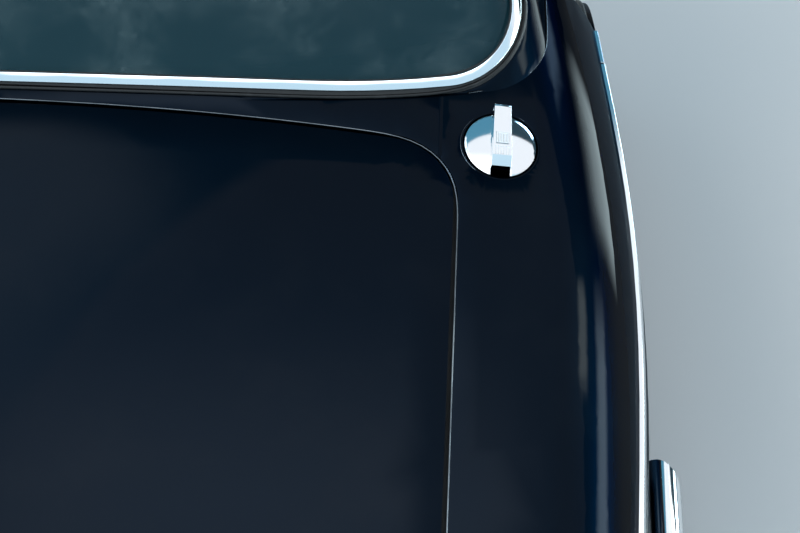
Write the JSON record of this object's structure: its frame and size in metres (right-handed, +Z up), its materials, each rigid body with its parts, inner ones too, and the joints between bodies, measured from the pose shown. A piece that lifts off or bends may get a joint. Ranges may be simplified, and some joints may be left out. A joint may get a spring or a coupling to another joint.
{
  "type": "rear body section of a saloon car",
  "caption": "Rear body section of a luxury saloon: wings with flip-up filler caps, boot lid on gooseneck hinges, rear window in bright trim, lamps and bumper.",
  "frame": {"origin": "centre of the four mounting holes under the chassis rails, on the car's centreline at the rear axle", "axes": "+X to the car's right, +Y towards its front, +Z up"},
  "size_m": [1.885, 1.6267, 1.1379],
  "materials": {
    "body_paint": "gloss",
    "inner_paint": "satin",
    "window_glass": "clear, lightly tinted",
    "bright_trim": "polished",
    "rubber_seal": "matt",
    "boot_lining": "needled carpet",
    "shelf_cloth": "flat cloth",
    "lamp_lens": "clear, ribbed",
    "plate_blank": "plain",
    "plated_steel": "zinc plated"
  },
  "bodies": {
    "rear_body": {"wing_right": "body_paint", "wing_left": "body_paint", "tonneau_panel": "body_paint", "tail_panel": "body_paint", "roof_and_pillars": "body_paint", "rear_window_glass": "window_glass", "window_trim": "bright_trim", "window_seal": "rubber_seal", "boot_gutter": "inner_paint", "boot_seal": "rubber_seal", "hinge_brackets": "inner_paint", "lid_striker": "plated_steel", "wheelhouses": "inner_paint", "boot_floor": "inner_paint", "bulkhead": "inner_paint", "parcel_shelf": "shelf_cloth", "boot_side_trims": "boot_lining", "chassis_rails": "inner_paint", "filler_bowl_right": "inner_paint", "filler_bowl_left": "inner_paint", "side_mouldings": "bright_trim", "lamp_bezels": "bright_trim", "lamp_lenses": "lamp_lens", "bumper_centre": "bright_trim", "bumper_corner_right": "bright_trim", "bumper_corner_left": "bright_trim", "overriders": "bright_trim", "bumper_brackets": "inner_paint"},
    "boot_lid_body": {"boot_lid": "body_paint", "lid_frame": "inner_paint", "hinge_arms": "inner_paint", "lid_latch": "plated_steel", "number_plate": "plate_blank", "lid_plinth": "bright_trim"},
    "cap_right": {"filler_cap_right": "bright_trim", "filler_bar_right": "bright_trim", "filler_button_right": "bright_trim"},
    "cap_left": {"filler_cap_left": "bright_trim", "filler_bar_left": "bright_trim", "filler_button_left": "bright_trim"}
  },
  "joints": [
    {"name": "boot_lid_hinge", "type": "hinge", "parent": "rear_body", "child": "boot_lid_body", "pos_m": [0, -0.158, 0.668], "axis": [-1, 0, 0], "range_deg": [0, 65]},
    {"name": "filler_cap_right_hinge", "type": "hinge", "parent": "rear_body", "child": "cap_right", "pos_m": [0.66425, -0.24747, 0.66996], "axis": [-0.9937, 0, 0.1125], "range_deg": [0, 85]},
    {"name": "filler_cap_left_hinge", "type": "hinge", "parent": "rear_body", "child": "cap_left", "pos_m": [-0.66425, -0.24747, 0.66996], "axis": [-0.9937, 0, -0.1125], "range_deg": [0, 85]}
  ]
}
